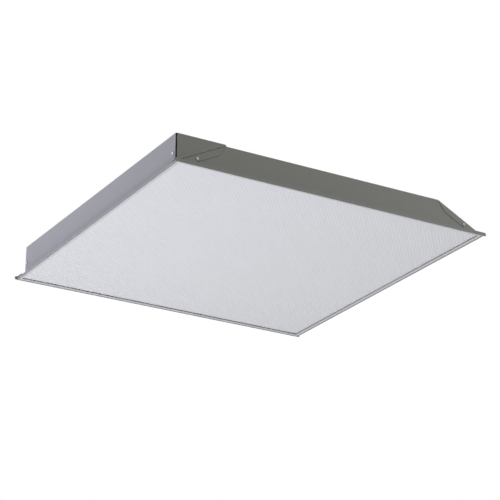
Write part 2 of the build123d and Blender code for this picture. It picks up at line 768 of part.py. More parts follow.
with BuildPart() as led_packages:
    for row_x in board_rows:
        with BuildSketch(Plane.XY.offset(board_bottom)):
            with Locations((row_x - board_width / 6, -package_step / 4)):
                with GridLocations(1, package_step, 1, package_count):
                    Rectangle(package_size, package_size)
        extrude(amount=-package_height)
led_packages.part.label = "led_packages"

connector_end = board_length / 2
with BuildPart() as board_connectors:
    for row_x in board_rows:
        with BuildSketch(Plane.XY.offset(board_bottom)):
            with Locations((row_x + board_width / 6, connector_end - connector_length / 2)):
                Rectangle(connector_width, connector_length)
        extrude(amount=-connector_height)
    lower_faces = board_connectors.faces().sort_by(Axis.Z)[:board_count]
    chamfer(lower_faces.edges().filter_by(Axis.X), connector_chamfer)
board_connectors.part.label = "board_connectors"

board_screw_plane = Plane(origin=(0, 0, board_bottom), x_dir=(1, 0, 0), z_dir=(0, 0, -1))
board_screw = pan_screw(board_screw_plane, board_screw_radius, board_screw_head, board_thickness + 2 * sheet)
with BuildPart() as board_screws:
    with Locations(*[(x, y, 0) for x, y in board_screw_rows]):
        add(board_screw)
board_screws.part.label = "board_screws"

# ---------------------------------------------------------------- driver, brackets and wiring
bracket_path = [
    (cover_inside_x + bracket_inset, shelf_bottom),
    (bend_x, shelf_bottom),
    (foot_top_x, slope_z(foot_top_x)),
]


def shelf_bracket(y, fixing_places):
    """Bent strip: foot on the slope, level shelf that carries what is screwed to it."""
    with BuildPart() as bracket:
        with BuildSketch(Plane.XZ.offset(-y)):
            with BuildLine():
                Polyline(*bracket_path)
                offset(amount=bracket_thickness, side=Side.LEFT, kind=Kind.INTERSECTION)
            make_face()
        extrude(amount=bracket_width / 2, both=True)
        with BuildSketch(Plane.XY.offset(shelf_bottom - bracket_thickness)):
            with Locations(*fixing_places):
                Circle(board_screw_radius + screw_fit)
        extrude(amount=3 * bracket_thickness, mode=Mode.SUBTRACT)
        with BuildSketch(slope_plane(bracket_screw_x, y)):
            Circle(board_screw_radius + screw_fit)
        extrude(amount=2 * bracket_thickness, both=True, mode=Mode.SUBTRACT)
    return bracket.part


driver_fixings = [(driver_x, y) for y in driver_bracket_ys]
terminal_fixing = (driver_x, terminal_y - terminal_length / 2 - terminal_tab / 2)
with BuildPart() as driver_brackets:
    for place in driver_fixings:
        add(shelf_bracket(place[1], [place]))
driver_brackets.part.label = "driver_brackets"

terminal_bracket = shelf_bracket(terminal_bracket_y, [terminal_fixing])
terminal_bracket.label = "terminal_bracket"

with BuildPart() as led_driver:
    with BuildSketch(Plane.XY.offset(shelf_z)):
        with Locations((driver_x, driver_y)):
            Rectangle(driver_width, driver_length)
    extrude(amount=driver_height)
    fillet(led_driver.edges().filter_by(Axis.Y).group_by(Axis.Z)[-1], driver_corner)
    with BuildSketch(Plane.XY.offset(shelf_z)):
        with Locations((driver_x, driver_y)):
            Rectangle(driver_width, driver_length + 2 * driver_tab)
        with Locations(*driver_fixings):
            SlotOverall(driver_slot_length, 2 * (board_screw_radius + screw_fit), mode=Mode.SUBTRACT)
    extrude(amount=driver_tab_thickness)
    for side in (-1, 1):
        with BuildSketch(face_plane(side, side * driver_y + driver_length / 2)):
            with Locations((-side * driver_x, shelf_z + driver_height / 2)):
                Rectangle(driver_port_width, driver_port_height)
        extrude(amount=driver_port_length)
led_driver.part.label = "led_driver"

with BuildPart() as terminal_block:
    with BuildSketch(Plane.XY.offset(shelf_z)):
        with Locations((driver_x, terminal_y)):
            Rectangle(terminal_width, terminal_length)
        with Locations((driver_x, terminal_y - terminal_tab / 2)):
            Rectangle(terminal_tab_width, terminal_length + terminal_tab)
        with Locations(terminal_fixing):
            Circle(board_screw_radius + screw_fit, mode=Mode.SUBTRACT)
    extrude(amount=terminal_tab_thickness)
    with BuildSketch(Plane.XY.offset(shelf_z + terminal_tab_thickness)):
        with Locations((driver_x, terminal_y)):
            Rectangle(terminal_width, terminal_length)
    extrude(amount=terminal_height - terminal_tab_thickness)
    fillet(terminal_block.edges().filter_by(Axis.X).group_by(Axis.Z)[-1], terminal_rounding)
    with BuildSketch(face_plane(-1, -terminal_y + terminal_length / 2)):
        with Locations((driver_x, shelf_z + terminal_bore_z)):
            with GridLocations(terminal_step, 1, 3, 1):
                Circle(terminal_bore)
    extrude(amount=-terminal_bore_depth, mode=Mode.SUBTRACT)
terminal_block.part.label = "terminal_block"

with BuildPart() as driver_screws:
    for place in driver_fixings:
        add(pan_screw(Plane(origin=(*place, shelf_z + driver_tab_thickness)), board_screw_radius,
                      board_screw_head, driver_tab_thickness + bracket_thickness + fixing_spare))
driver_screws.part.label = "driver_screws"

terminal_tab_top = Plane(origin=(*terminal_fixing, shelf_z + terminal_tab_thickness))
terminal_screw = pan_screw(terminal_tab_top, board_screw_radius, board_screw_head,
                           terminal_tab_thickness + bracket_thickness + fixing_spare)
terminal_screw.label = "terminal_screw"

with BuildPart() as bracket_screws:
    for y in bracket_ys:
        add(pan_screw(slope_plane(bracket_screw_x, y).offset(bracket_thickness), board_screw_radius,
                      board_screw_head, bracket_thickness + sheet + fixing_spare))
bracket_screws.part.label = "bracket_screws"

# Supply side leads, straight from the terminal block to the driver
lead_start = terminal_y + terminal_length / 2
lead_end = driver_y - driver_length / 2 - driver_port_length
with BuildPart() as input_leads:
    with BuildSketch(Plane.XZ.offset(-lead_start)):
        with Locations((driver_x, shelf_z + driver_height / 2)):
            with GridLocations(lead_step, 1, 3, 1):
                Circle(lead_radius)
    extrude(amount=-(lead_end - lead_start))
input_leads.part.label = "input_leads"

# Low-voltage harness: driver, bushing, along the slope and across the board ends
trunk_y = connector_end + trunk_back
trunk_z = board_bottom - connector_height / 2
port_y = driver_y + driver_length / 2 + driver_port_length
port_z = shelf_z + driver_height / 2
bushing_plane = slope_plane(bushing_x, bushing_y)
outside_point = tuple(bushing_plane.from_local_coords((0, 0, harness_outside)))
inside_point = tuple(bushing_plane.from_local_coords((0, 0, -harness_inside)))
climb_point = (inside_point[0] + harness_climb * math.cos(cover_slope_angle), trunk_y - trunk_back,
               inside_point[2] + harness_climb * math.sin(cover_slope_angle))
harness_path = [
    (driver_x, port_y, port_z),
    (driver_x, bushing_y - bushing_hole_radius, port_z),
    outside_point,
    inside_point,
    climb_point,
    (board_rows[0] - trunk_start, trunk_y, trunk_z),
    (board_rows[-1] + board_width / 6, trunk_y, trunk_z),
    (board_rows[-1] + board_width / 6, connector_end, trunk_z),
]
with BuildPart() as output_harness:
    with BuildLine() as harness_line:
        FilletPolyline(*harness_path, radius=harness_bends)
    with BuildSketch(Plane(origin=harness_path[0], z_dir=(0, 1, 0))):
        Circle(harness_radius)
    sweep(path=harness_line.wire())
    with BuildSketch(Plane.XZ.offset(-connector_end)):
        with Locations(*[(row_x + board_width / 6, trunk_z) for row_x in board_rows[:-1]]):
            Circle(harness_radius)
    extrude(amount=-(trunk_y - connector_end))
output_harness.part.label = "output_harness"

with BuildPart() as wire_bushing:
    with BuildSketch(bushing_plane):
        Circle(bushing_hole_radius + bushing_flange)
        Circle(harness_radius + harness_fit, mode=Mode.SUBTRACT)
    extrude(amount=bushing_lip)
    with BuildSketch(bushing_plane):
        Circle(bushing_hole_radius - bushing_fit)
        Circle(harness_radius + harness_fit, mode=Mode.SUBTRACT)
    extrude(amount=-(sheet + bushing_lip))
    bushing_rim = wire_bushing.edges().filter_by(GeomType.CIRCLE).filter_by(
        lambda edge: edge.radius > bushing_hole_radius).sort_by(
        lambda edge: bushing_plane.to_local_coords(edge.center()).Z)[-1]
    fillet(bushing_rim, bushing_lip / 2)
wire_bushing.part.label = "wire_bushing"

# ---------------------------------------------------------------- fasteners
with BuildPart() as flap_screws:
    for side in (-1, 1):
        for x, z in flap_screws_at:
            outer = Plane(origin=(x, side * end_face, z), x_dir=(-side, 0, 0), z_dir=(0, side, 0))
            add(pan_screw(outer, screw_radius, screw_head_radius, screw_length))
flap_screws.part.label = "flap_screws"

with BuildPart() as cover_screws:
    for side in (-1, 1):
        outer = Plane(origin=(cover_face_x, side * cover_side_screw_y, cover_screw_z), x_dir=(0, -1, 0),
                      z_dir=(-1, 0, 0))
        add(pan_screw(outer, screw_radius, screw_head_radius, corner_slot + screw_length))
    for row in (-1, 0, 1):
        outer = Plane(origin=(cover_top_screw_x, row * cover_top_screw_y, body_top + sheet))
        add(pan_screw(outer, screw_radius, screw_head_radius, screw_length))
cover_screws.part.label = "cover_screws"


def rivet(plane, grip):
    """Dome-headed rivet, its head on the plane and its formed tail on the far side of the sheets."""
    with BuildPart() as body:
        with BuildSketch(plane):
            Circle(rivet_head_radius)
        extrude(amount=rivet_head_height)
        fillet(body.edges().filter_by(GeomType.CIRCLE).sort_by(
            lambda edge: plane.to_local_coords(edge.center()).Z)[-1], rivet_head_height * 0.8)
        with BuildSketch(plane):
            Circle(rivet_radius)
        extrude(amount=-grip)
        with BuildSketch(plane.offset(-grip)):
            Circle(rivet_radius * 1.4)
        extrude(amount=-rivet_head_height)
    return body.part


with BuildPart() as end_plate_rivets:
    for side in (-1, 1):
        for x in end_rivets_x:
            add(rivet(Plane(origin=(x, side * end_rivet_y, body_top)), 2 * sheet))
end_plate_rivets.part.label = "end_plate_rivets"

with BuildPart() as compartment_rivets:
    for side in (-1, 1):
        for x in compartment_rivets_x:
            add(rivet(slope_plane(x, side * compartment_rivet_y).offset(sheet), 2 * sheet))
compartment_rivets.part.label = "compartment_rivets"

ground_screw = pan_screw(slope_plane(ground_x, ground_y), screw_radius, screw_head_radius, screw_length)
ground_screw.label = "ground_screw"

access_pivot_screw = pan_screw(Plane(origin=(*pivot_place, access_top + access_gap)), screw_radius,
                               screw_head_radius, screw_length)
access_pivot_screw.label = "access_pivot_screw"
access_lock_screw = pan_screw(Plane(origin=(*lock_place, access_top + access_gap)), screw_radius,
                              screw_head_radius, screw_length)
access_lock_screw.label = "access_lock_screw"

finished = [
    housing_body.part, end_plate_front, end_plate_rear, compartment_cover.part, compartment_end_front,
    compartment_end_rear, access_plate.part, frame_rail_latch, frame_rail_hinge, frame_rail_front,
    frame_rail_rear, corner_keys.part, lens_panel.part, diffuser_film.part, hinge_blocks.part,
    hinge_pins.part, latch_front, latch_rear, *led_boards, led_packages.part, board_connectors.part,
    board_screws.part, driver_brackets.part, terminal_bracket, led_driver.part, terminal_block.part,
    driver_screws.part, terminal_screw, bracket_screws.part, input_leads.part, output_harness.part,
    wire_bushing.part, flap_screws.part, cover_screws.part, end_plate_rivets.part, compartment_rivets.part,
    ground_screw, access_pivot_screw, access_lock_screw,
]
for piece in finished:
    export_step(piece, f"parts/{piece.label}.step")
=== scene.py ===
"""Looks of a shallow recessed ceiling light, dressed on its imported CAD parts.

Lengths are in metres and places are in the part's own frame: +Z points up into the ceiling
and Z = 0 is the lower edge of the two end rails that lie on the ceiling grid.
"""

import logging
import math
from dataclasses import dataclass, field
from enum import Enum
from typing import Any

import bmesh
import bpy
from mathutils import Matrix, Vector


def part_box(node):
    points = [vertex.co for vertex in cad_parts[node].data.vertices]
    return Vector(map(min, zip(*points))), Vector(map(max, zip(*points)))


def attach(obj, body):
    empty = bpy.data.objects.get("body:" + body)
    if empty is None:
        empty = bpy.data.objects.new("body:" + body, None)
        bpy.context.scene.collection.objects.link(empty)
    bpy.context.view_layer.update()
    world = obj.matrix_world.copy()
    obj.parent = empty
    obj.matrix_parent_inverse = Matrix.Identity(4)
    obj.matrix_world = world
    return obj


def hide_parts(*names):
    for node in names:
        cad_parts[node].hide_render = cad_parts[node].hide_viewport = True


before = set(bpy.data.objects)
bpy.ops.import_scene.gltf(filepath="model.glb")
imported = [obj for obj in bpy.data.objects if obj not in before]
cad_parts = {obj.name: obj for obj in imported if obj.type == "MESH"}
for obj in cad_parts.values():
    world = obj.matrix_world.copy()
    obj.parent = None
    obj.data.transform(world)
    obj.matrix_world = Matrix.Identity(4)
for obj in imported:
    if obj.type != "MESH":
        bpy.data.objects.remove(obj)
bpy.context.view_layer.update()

LOG = logging.getLogger("recessed_light")
MM = 0.001

# The sRGB curve: a straight line up to the knee, and a power above it.
SRGB_KNEE = 0.04045
SRGB_SLOPE = 12.92
SRGB_OFFSET = 0.055
SRGB_POWER = 2.4

# Clouds in a finish: octaves of the noise and how rough they are.
CLOUD_DETAIL = 4.0
CLOUD_ROUGHNESS = 0.55

# Painted shade in seams: rays for each sample, and the openness at which it is deepest and at which it
# ends.
SEAM_SAMPLES = 12
SEAM_CLOSED = 0.7
SEAM_OPEN = 0.88

# Refraction of PVC and nylon, which are close enough to share it.
PLASTIC_IOR = 1.53


# ------------------------------------------------------------------ colours and nodes
def linear(code: str) -> tuple[float, float, float, float]:
    """Turns an sRGB hex colour into the linear colour that shaders take.

    Args:
        code: six hex digits, such as "d8d6dc".

    Returns:
        Linear red, green and blue, with an alpha of 1.
    """
    shares = [int(code[i:i + 2], 16) / 255 for i in (0, 2, 4)]
    red, green, blue = [s / SRGB_SLOPE if s <= SRGB_KNEE
                        else ((s + SRGB_OFFSET) / (1 + SRGB_OFFSET)) ** SRGB_POWER for s in shares]
    return (red, green, blue, 1.0)


def add_node(tree: bpy.types.NodeTree, kind: str, settings: dict[Any, Any] | None = None,
             links: dict[Any, bpy.types.NodeSocket] | None = None) -> bpy.types.Node:
    """Adds one node with its settings and its incoming links.

    Args:
        tree: the tree that gets the node.
        kind: the node's type name.
        settings: values for properties, or for inputs by name or number.
        links: sockets to join to inputs, by input name or number.

    Returns:
        The new node.
    """
    node = tree.nodes.new(kind)
    for key, value in (settings or {}).items():
        if isinstance(key, str) and hasattr(node, key):
            setattr(node, key, value)
        else:
            node.inputs[key].default_value = value
    for key, socket in (links or {}).items():
        tree.links.new(socket, node.inputs[key])
    return node


def seen_rays(tree: bpy.types.NodeTree) -> bpy.types.NodeSocket:
    """Gives 1 for camera, glossy and transmission rays, and 0 for the rays that light things.

    Args:
        tree: the tree of the surround or of the floor.

    Returns:
        The socket with that value.
    """
    path = add_node(tree, "ShaderNodeLightPath")
    direct = add_node(tree, "ShaderNodeMath", {"operation": "ADD", "use_clamp": True},
                      {0: path.outputs["Is Camera Ray"], 1: path.outputs["Is Glossy Ray"]})
    shown = add_node(tree, "ShaderNodeMath", {"operation": "ADD", "use_clamp": True},
                     {0: direct.outputs[0], 1: path.outputs["Is Transmission Ray"]})
    return shown.outputs[0]


def pattern_scale(size_mm: float) -> float:
    """Texture scale at which one cell or blotch is about size_mm across."""
    return 1.0 / (size_mm * MM)


class Axis(Enum):
    """Direction that a brushed or rolled surface was worked in."""

    ALONG_Y = (1.0, 0.08, 1.0)
    NONE = (1.0, 1.0, 1.0)


# ------------------------------------------------------------------ finishes
@dataclass(frozen=True)
class Finish:
    """What every finish shares: a name, a colour and a base roughness."""

    name: str
    color: str
    roughness: float

    def material(self) -> bpy.types.Material:
        """Makes the material once and returns it from then on."""
        known = bpy.data.materials.get(self.name)
        if known is not None:
            return known
        made = bpy.data.materials.new(self.name)
        made.use_nodes = True
        tree = made.node_tree
        tree.nodes.clear()
        shader = add_node(tree, "ShaderNodeBsdfPrincipled",
                          {"Base Color": linear(self.color), "Roughness": self.roughness})
        add_node(tree, "ShaderNodeOutputMaterial", links={"Surface": shader.outputs["BSDF"]})
        place = add_node(tree, "ShaderNodeTexCoord")
        self.dress(tree, shader, place.outputs["Object"])
        made.diffuse_color = linear(self.color)
        return made

    def dress(self, tree: bpy.types.NodeTree, shader: bpy.types.Node, place: bpy.types.NodeSocket) -> None:
        """Adds what is particular to one finish.

        Args:
            tree: the material's tree.
            shader: its Principled node.
            place: the Object coordinates.
        """

    def blotches(self, tree: bpy.types.NodeTree, shader: bpy.types.Node, place: bpy.types.NodeSocket,
                 size_mm: float, share: float) -> bpy.types.NodeSocket:
        """Soft clouds of a slightly darker tone on the base colour.

        Args:
            tree: the material's tree.
            shader: its Principled node.
            place: the coordinates that the clouds follow.
            size_mm: size of a cloud.
            share: how much darker a cloud's middle is, from 0 to 1.

        Returns:
            The clouds' value, for other uses.
        """
        cloud = add_node(tree, "ShaderNodeTexNoise",
                         {"Scale": pattern_scale(size_mm), "Detail": CLOUD_DETAIL,
                          "Roughness": CLOUD_ROUGHNESS},
                         {"Vector": place})
        red, green, blue, alpha = linear(self.color)
        darker = (red * (1 - share), green * (1 - share), blue * (1 - share), alpha)
        tone = add_node(tree, "ShaderNodeMix", {"data_type": "RGBA", 6: darker, 7: linear(self.color)},
                        {0: cloud.outputs[0]})
        tree.links.new(tone.outputs[2], shader.inputs["Base Color"])
        return cloud.outputs[0]

    def shade_seams(self, tree: bpy.types.NodeTree, shader: bpy.types.Node, place: bpy.types.NodeSocket,
                    reach_mm: float, above_mm: float, tone: str) -> None:
        """Paints shade into the colour of the seams and folds, where little light gets in.

        Args:
            tree: the material's tree.
            shader: its Principled node, with its colour linked.
            place: the Object coordinates.
            reach_mm: how far from a seam the painted shade reaches.
            above_mm: height under which no shade is painted, where the surface lies open.
            tone: colour of the deepest painted shade.
        """
        open_tone = shader.inputs["Base Color"].links[0].from_socket
        around = add_node(tree, "ShaderNodeAmbientOcclusion",
                          {"samples": SEAM_SAMPLES, "Distance": reach_mm * MM})
        openness = add_node(tree, "ShaderNodeMapRange", {"From Min": SEAM_CLOSED, "From Max": SEAM_OPEN},
                            {"Value": around.outputs["AO"]})
        height = add_node(tree, "ShaderNodeSeparateXYZ", links={0: place})
        low = add_node(tree, "ShaderNodeMath", {"operation": "LESS_THAN", 1: above_mm * MM},
                       {0: height.outputs["Z"]})
        clear = add_node(tree, "ShaderNodeMath", {"operation": "MAXIMUM"},
                         {0: openness.outputs["Result"], 1: low.outputs[0]})
        # Painted shade: the colour goes towards the dark tone where the seams close in, above the open
        # height.
        seam = add_node(tree, "ShaderNodeMix", {"data_type": "RGBA", 6: linear(tone)},
                        {0: clear.outputs[0], 7: open_tone})
        tree.links.new(seam.outputs[2], shader.inputs["Base Color"])

    def vary_gloss(self, tree: bpy.types.NodeTree, shader: bpy.types.Node, cloud: bpy.types.NodeSocket,
                   less: float, more: float) -> None:
        """Lets the roughness follow the clouds.

        Args:
            tree: the material's tree.
            shader: its Principled node.
            cloud: the clouds' value.
            less: how far the roughness falls below the base roughness.
            more: how far it rises above it.
        """
        gloss = add_node(tree, "ShaderNodeMapRange",
                         {"To Min": self.roughness - less, "To Max": self.roughness + more},
                         {"Value": cloud})
        tree.links.new(gloss.outputs["Result"], shader.inputs["Roughness"])

    def add_grain(self, tree: bpy.types.NodeTree, shader: bpy.types.Node, place: bpy.types.NodeSocket,
                  size_mm: float, height_mm: float, strength: float, detail: float = 2.0) -> None:
        """Gives the surface a fine relief in the bump.

        Args:
            tree: the material's tree.
            shader: its Principled node.
            place: the coordinates that the grain follows.
            size_mm: size of a grain.
            height_mm: its height.
            strength: share of the relief that shows.
            detail: octaves of the noise.
        """
        grain = add_node(tree, "ShaderNodeTexNoise", {"Scale": pattern_scale(size_mm), "Detail": detail},
                         {"Vector": place})
        bump = add_node(tree, "ShaderNodeBump", {"Strength": strength, "Distance": height_mm * MM},
                        {"Height": grain.outputs[0]})
        tree.links.new(bump.outputs["Normal"], shader.inputs["Normal"])


@dataclass(frozen=True)
class BakedPaint(Finish):
    """Powder coat baked on steel sheet: satin, with a soft orange peel, faint clouds and painted shade in
    its seams.
    """

    peel_mm: float = 1.6
    peel_height_mm: float = 0.048
    peel_strength: float = 0.6
    gloss_less: float = 0.06
    gloss_more: float = 0.08
    cloud_mm: float = 28.0
    cloud_share: float = 0.06
    # Painted shade in the seams: how far it reaches, the height under which none is painted, and its
    # darkest colour.
    painted_shade_reach_mm: float = 5.0
    painted_shade_above_mm: float = 6.6
    painted_shade_tone: str = "3a3b3a"

    def dress(self, tree: bpy.types.NodeTree, shader: bpy.types.Node, place: bpy.types.NodeSocket) -> None:
        """Orange peel in the bump, clouds in the tone and the gloss, and painted shade in the seams."""
        cloud = self.blotches(tree, shader, place, self.cloud_mm, self.cloud_share)
        self.shade_seams(tree, shader, place, self.painted_shade_reach_mm, self.painted_shade_above_mm, self.painted_shade_tone)
        self.vary_gloss(tree, shader, cloud, self.gloss_less, self.gloss_more)
        self.add_grain(tree, shader, place, self.peel_mm, self.peel_height_mm, self.peel_strength)


@dataclass(frozen=True)
class PressedAcrylic(Finish):
    """Acrylic sheet with pressed prisms, milky from the white film that lies on its back."""

    ior: float = 1.49
    flow_mm: float = 60.0
    flow_share: float = 0.03
    skin_mm: float = 0.9
    skin_height_mm: float = 0.02
    skin_strength: float = 0.2

    def dress(self, tree: bpy.types.NodeTree, shader: bpy.types.Node, place: bpy.types.NodeSocket) -> None:
        """Faint flow clouds of the extruded sheet and a soft skin on the prisms."""
        shader.inputs["IOR"].default_value = self.ior
        self.blotches(tree, shader, place, self.flow_mm, self.flow_share)
        self.add_grain(tree, shader, place, self.skin_mm, self.skin_height_mm, self.skin_strength)


@dataclass(frozen=True)
class ZincPlate(Finish):
    """Bright zinc on small steel parts: metallic, with fine tumbling marks and dull spots."""

    worked: Axis = Axis.NONE
    cloud_mm: float = 9.0
    cloud_share: float = 0.18
    gloss_less: float = 0.08
    gloss_more: float = 0.14
    mark_mm: float = 0.6
    mark_height_mm: float = 0.02
    mark_strength: float = 0.5
    mark_detail: float = 3.0

    def dress(self, tree: bpy.types.NodeTree, shader: bpy.types.Node, place: bpy.types.NodeSocket) -> None:
        """Metal with marks drawn out along the way that it was worked."""
        shader.inputs["Metallic"].default_value = 1.0
        cloud = self.blotches(tree, shader, place, self.cloud_mm, self.cloud_share)
        self.vary_gloss(tree, shader, cloud, self.gloss_less, self.gloss_more)
        stretch = add_node(tree, "ShaderNodeMapping", {"Scale": self.worked.value}, {"Vector": place})
        self.add_grain(tree, shader, stretch.outputs[0], self.mark_mm, self.mark_height_mm,
                       self.mark_strength, self.mark_detail)


@dataclass(frozen=True)
class MouldedPlastic(Finish):
    """Injection-moulded nylon: a fine spark-eroded grain from the tool."""

    grain_mm: float = 0.35
    ior: float = PLASTIC_IOR
    grain_height_mm: float = 0.03
    grain_strength: float = 0.5
    cloud_mm: float = 12.0
    cloud_share: float = 0.08

    def dress(self, tree: bpy.types.NodeTree, shader: bpy.types.Node, place: bpy.types.NodeSocket) -> None:
        """Grain in the bump, slight flow marks in the tone."""
        shader.inputs["IOR"].default_value = self.ior
        self.blotches(tree, shader, place, self.cloud_mm, self.cloud_share)
        self.add_grain(tree, shader, place, self.grain_mm, self.grain_height_mm, self.grain_strength)


@dataclass(frozen=True)
class SolderMask(Finish):
    """White solder mask over copper: the copper areas stand proud and show faintly through it."""

    copper: str = "d9d3c4"
    second_color: str = "ece9e0"
    pad_mm: float = 20.0
    row_mm: float = 6.0
    gap_mm: float = 0.35
    gap_smooth: float = 0.1
    row_offset: float = 0.5
    ior: float = 1.55
    step_mm: float = 0.04
    step_strength: float = 0.4

    def dress(self, tree: bpy.types.NodeTree, shader: bpy.types.Node, place: bpy.types.NodeSocket) -> None:
        """Long copper areas parted by thin gaps, one for each light package."""
        shader.inputs["IOR"].default_value = self.ior
        copper = add_node(tree, "ShaderNodeTexBrick",
                          {"offset": self.row_offset, "squash": 1.0, "Color1": linear(self.color),
                           "Color2": linear(self.second_color), "Mortar": linear(self.copper),
                           "Scale": 1.0, "Mortar Size": self.gap_mm * MM, "Mortar Smooth": self.gap_smooth,
                           "Brick Width": self.pad_mm * MM, "Row Height": self.row_mm * MM})
        turned = add_node(tree, "ShaderNodeMapping", {"Rotation": (0, 0, math.pi / 2)}, {"Vector": place})
        tree.links.new(turned.outputs[0], copper.inputs["Vector"])
        tree.links.new(copper.outputs["Color"], shader.inputs["Base Color"])
        bump = add_node(tree, "ShaderNodeBump",
                        {"Strength": self.step_strength, "Distance": self.step_mm * MM, "invert": True},
                        {"Height": copper.outputs["Fac"]})
        tree.links.new(bump.outputs["Normal"], shader.inputs["Normal"])


@dataclass(frozen=True)
class StageFloor(Finish):
    """Plain matte floor that looks pale to the camera and still takes the object's shadow."""

    lift: float = 0.55

    def dress(self, tree: bpy.types.NodeTree, shader: bpy.types.Node, place: bpy.types.NodeSocket) -> None:
        """Adds an even glow for camera, glossy and transmission rays only."""
        seen = add_node(tree, "ShaderNodeMath", {"operation": "MULTIPLY", 1: self.lift},
                        {0: seen_rays(tree)})
        shader.inputs["Emission Color"].default_value = linear(self.color)
        tree.links.new(seen.outputs[0], shader.inputs["Emission Strength"])


@dataclass(frozen=True)
class LeadSleeve(Finish):
    """Extruded PVC insulation: smooth, slightly waxy, in one colour or one for each lead."""

    others: tuple[tuple[float, str], ...] = ()
    ior: float = PLASTIC_IOR
    cloud_mm: float = 8.0
    cloud_share: float = 0.1

    def dress(self, tree: bpy.types.NodeTree, shader: bpy.types.Node, place: bpy.types.NodeSocket) -> None:
        """Colours step across X where a bundle holds several leads."""
        shader.inputs["IOR"].default_value = self.ior
        if not self.others:
            self.blotches(tree, shader, place, self.cloud_mm, self.cloud_share)
            return
        across = add_node(tree, "ShaderNodeSeparateXYZ", links={0: place})
        tone: bpy.types.NodeSocket | None = None
        for edge, color in self.others:
            past = add_node(tree, "ShaderNodeMath", {"operation": "GREATER_THAN", 1: edge},
                            {0: across.outputs["X"]})
            step = add_node(tree, "ShaderNodeMix",
                            {"data_type": "RGBA", 6: linear(self.color), 7: linear(color)},
                            {0: past.outputs[0]})
            if tone is not None:
                tree.links.new(tone, step.inputs[6])
            tone = step.outputs[2]
        tree.links.new(tone, shader.inputs["Base Color"])


# The finishes of this light. Each comment gives the common name, how the surface was made
# and what the eye sees.
# Grey polyester powder coat, baked on folded sheet: satin, cool grey in light, olive in shade.
# Its seams and folds above the rim get a painted shade of dark grey.
HOUSING_PAINT = BakedPaint("polyester_powder_coat_grey", "adaeac", 0.46)
# Pale polyester powder coat on the small formed frame and on its latches, which leave no mark
# in the photograph: brighter and a little glossier.
# The frame's seams, such as the inner lip beside the lens, get a painted blue-grey shade.
FRAME_PAINT = BakedPaint("polyester_powder_coat_white", "cdced1", 0.38, cloud_share=0.03, painted_shade_reach_mm=3.0,
                         painted_shade_above_mm=0.9, painted_shade_tone="454b60")
# Prismatic acrylic, pressed between rolls: milky lavender white with fine diagonal rows.
LENS_ACRYLIC = PressedAcrylic("acrylic_prismatic", "e3e3e8", 0.34)
# Matte polyester film, extruded: even white.
DIFFUSER_FILM = MouldedPlastic("polyester_film_matte", "eeeeee", 0.6, grain_mm=1.2)
# Clear zinc plate on stamped and headed steel: bright grey, slightly blue.
ZINC = ZincPlate("zinc_plated_steel", "b4b6b9", 0.2)
# Zinc plate on a strip that was rolled lengthways.
ZINC_STRIP = ZincPlate("zinc_plated_strip", "b9bbbc", 0.4, worked=Axis.ALONG_Y)
# Green passivated screw for the ground wire.
GROUND_ZINC = ZincPlate("green_passivated_steel", "3f7a4e", 0.42)
# White solder mask on an aluminium-cored board.
BOARD = SolderMask("white_solder_mask", "f1efe8", 0.32)
# Silicone gel with yellow phosphor: dull yellow when it isn't lit.
PHOSPHOR = MouldedPlastic("phosphor_silicone_gel", "e3c45a", 0.3, grain_mm=0.2, ior=1.41)
# White reflector resin of the light packages.
PACKAGE_RESIN = MouldedPlastic("white_reflector_resin", "f3f1ea", 0.4)
# Moulded white nylon of connectors and terminals.
WHITE_NYLON = MouldedPlastic("nylon_66_white", "e9e6da", 0.48)
# Moulded black nylon of the wire bushing.
BLACK_NYLON = MouldedPlastic("nylon_66_black", "1d1d20", 0.5)
# White powder coat on the driver's folded case.
# Its seams get the same painted dark-grey shade as the housing's.
DRIVER_COAT = BakedPaint("powder_coat_driver_white", "d9dad8", 0.5, peel_mm=1.0)
# Pale PVC over the low-voltage harness.
HARNESS_PVC = LeadSleeve("pvc_sleeve_pale", "d8d4c6", 0.42)
# Black, white and green PVC leads of the supply side.
SUPPLY_PVC = LeadSleeve("pvc_leads_supply", "202022", 0.42,
                        others=((-274.9 * MM, "e6e4dc"), (-269.9 * MM, "2f7d4b")))


# ------------------------------------------------------------------ helpers for pieces
def finish_node(node: str, finish: Finish) -> None:
    """Gives a CAD node's material slots a finish.

    Args:
        node: the CAD node's name.
        finish: the finish that the real piece has.
    """
    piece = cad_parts[node]
    if not piece.material_slots:
        piece.data.materials.append(finish.material())
    for part_slot in piece.material_slots:
        part_slot.material = finish.material()
    LOG.info("%s: %s", node, finish.name)


def finish_piece(name: str, shape: bmesh.types.BMesh, finishes: list[Finish], body: str,
                 stands_for: tuple[str, ...] = ()) -> bpy.types.Object:
    """Turns a bmesh into a piece that rides on a body.

    Args:
        name: the piece's name.
        shape: the bmesh, in place; it is freed.
        finishes: one finish for each material number that its faces use.
        body: the CAD body that it moves with.
        stands_for: CAD nodes that it replaces.

    Returns:
        The new object.
    """
    mesh = bpy.data.meshes.new(name)
    shape.to_mesh(mesh)
    shape.free()
    piece = bpy.data.objects.new(name, mesh)
    bpy.context.scene.collection.objects.link(piece)
    for finish in finishes:
        mesh.materials.append(finish.material())
    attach(piece, body)
    if stands_for:
        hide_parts(*stands_for)
    LOG.info("%s: %d faces on %s", name, len(mesh.polygons), body)
    return piece


# ------------------------------------------------------------------ sub-assemblies
@dataclass
class Housing:
    """Folded steel channel, its two end plates and the rivets and screws that join them."""

    painted: tuple[str, ...] = ("housing_body", "end_plate_front", "end_plate_rear")
    fasteners: tuple[str, ...] = ("flap_screws", "end_plate_rivets")

    def build(self) -> None:
        """Dresses the sheet parts and their fasteners."""
        for node in self.painted:
            finish_node(node, HOUSING_PAINT)
        for node in self.fasteners:
            finish_node(node, ZINC)


